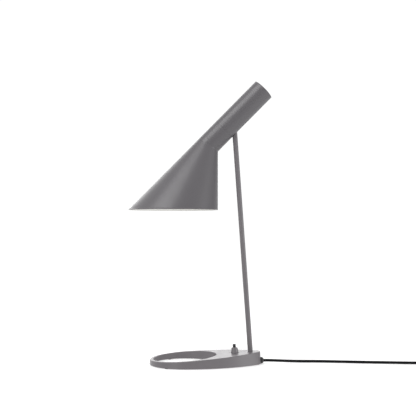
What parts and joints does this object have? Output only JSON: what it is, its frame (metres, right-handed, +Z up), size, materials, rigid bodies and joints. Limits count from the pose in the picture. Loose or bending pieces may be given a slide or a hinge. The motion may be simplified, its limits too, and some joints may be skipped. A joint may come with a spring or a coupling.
{
  "type": "architect desk lamp",
  "caption": "Desk lamp with a conical shade on a slotted tube head that tilts on a thin leaning stem, over a sloping ring-shaped base with a push switch and a mains cord.",
  "frame": {"origin": "on the table under the middle of the lamp's box, measured without the free cord and its plug", "axes": "+Z up, +X from the shade towards the side where the cord leaves the base, y = 0 is the lamp's plane of symmetry"},
  "size_m": [0.7583, 0.169, 0.56],
  "materials": {
    "grey_paint": "satin powder coat",
    "dark_grey_paint": "satin powder coat",
    "zinc_steel": "zinc plated",
    "black_rubber": "matt",
    "black_cord": "smooth flexible cord sheath",
    "white_lead": "smooth",
    "black_plastic": "smooth moulded",
    "white_plastic": "moulded",
    "white_ceramic": "glazed",
    "brown_board": "pressed fibre board",
    "brass": "turned",
    "nickel": "nickel plated",
    "opal_glass": "opal, satin"
  },
  "bodies": {
    "stand": {"base_casting": "grey_paint", "bottom_cover": "dark_grey_paint", "cover_screws": "zinc_steel", "foot_pads": "black_rubber", "stem_tube": "grey_paint", "stem_washer": "zinc_steel", "stem_nut": "zinc_steel", "tilt_knuckle": "zinc_steel", "stem_lead": "white_lead", "switch_collar": "dark_grey_paint", "switch_body": "black_plastic", "switch_base": "brown_board", "switch_spring": "zinc_steel", "switch_leads": "white_lead", "terminal_block": "white_plastic", "terminal_screws": "brass", "cord_clamp": "zinc_steel", "clamp_screws": "zinc_steel", "cord_gland": "black_plastic", "base_lead": "black_cord", "power_cord_run": "black_cord", "power_cord_coil": "black_cord", "power_cord_tail": "black_cord", "cord_tie": "black_plastic", "plug_body": "black_plastic", "plug_pins": "nickel"},
    "button": {"switch_button": "black_plastic"},
    "head": {"shade_cone": "grey_paint", "shade_neck": "grey_paint", "head_tube": "grey_paint", "tube_end_cap": "dark_grey_paint", "hinge_yoke": "zinc_steel", "yoke_rivets": "zinc_steel", "pivot_pin": "zinc_steel", "pivot_nut": "zinc_steel", "friction_washers": "brown_board", "holder_plate": "zinc_steel", "holder_nipple": "brass", "holder_nuts": "brass", "lamp_holder": "white_ceramic", "holder_shell": "brass", "holder_contact": "brass", "head_lead": "white_lead", "bulb_cap": "nickel", "bulb_glass": "opal_glass"}
  },
  "joints": [
    {"name": "head_tilt", "type": "hinge", "parent": "stand", "child": "head", "pos_m": [0.06724, 0, 0.48439], "axis": [0, 1, 0], "range_deg": [-1.5, 72]},
    {"name": "switch_press", "type": "slide", "parent": "stand", "child": "button", "axis": [0.0698, 0, -0.9976], "range_m": [0, 0.0025], "stiffness_N_per_m": 400, "springref_m": -0.002, "deforming": ["switch_spring"]}
  ]
}
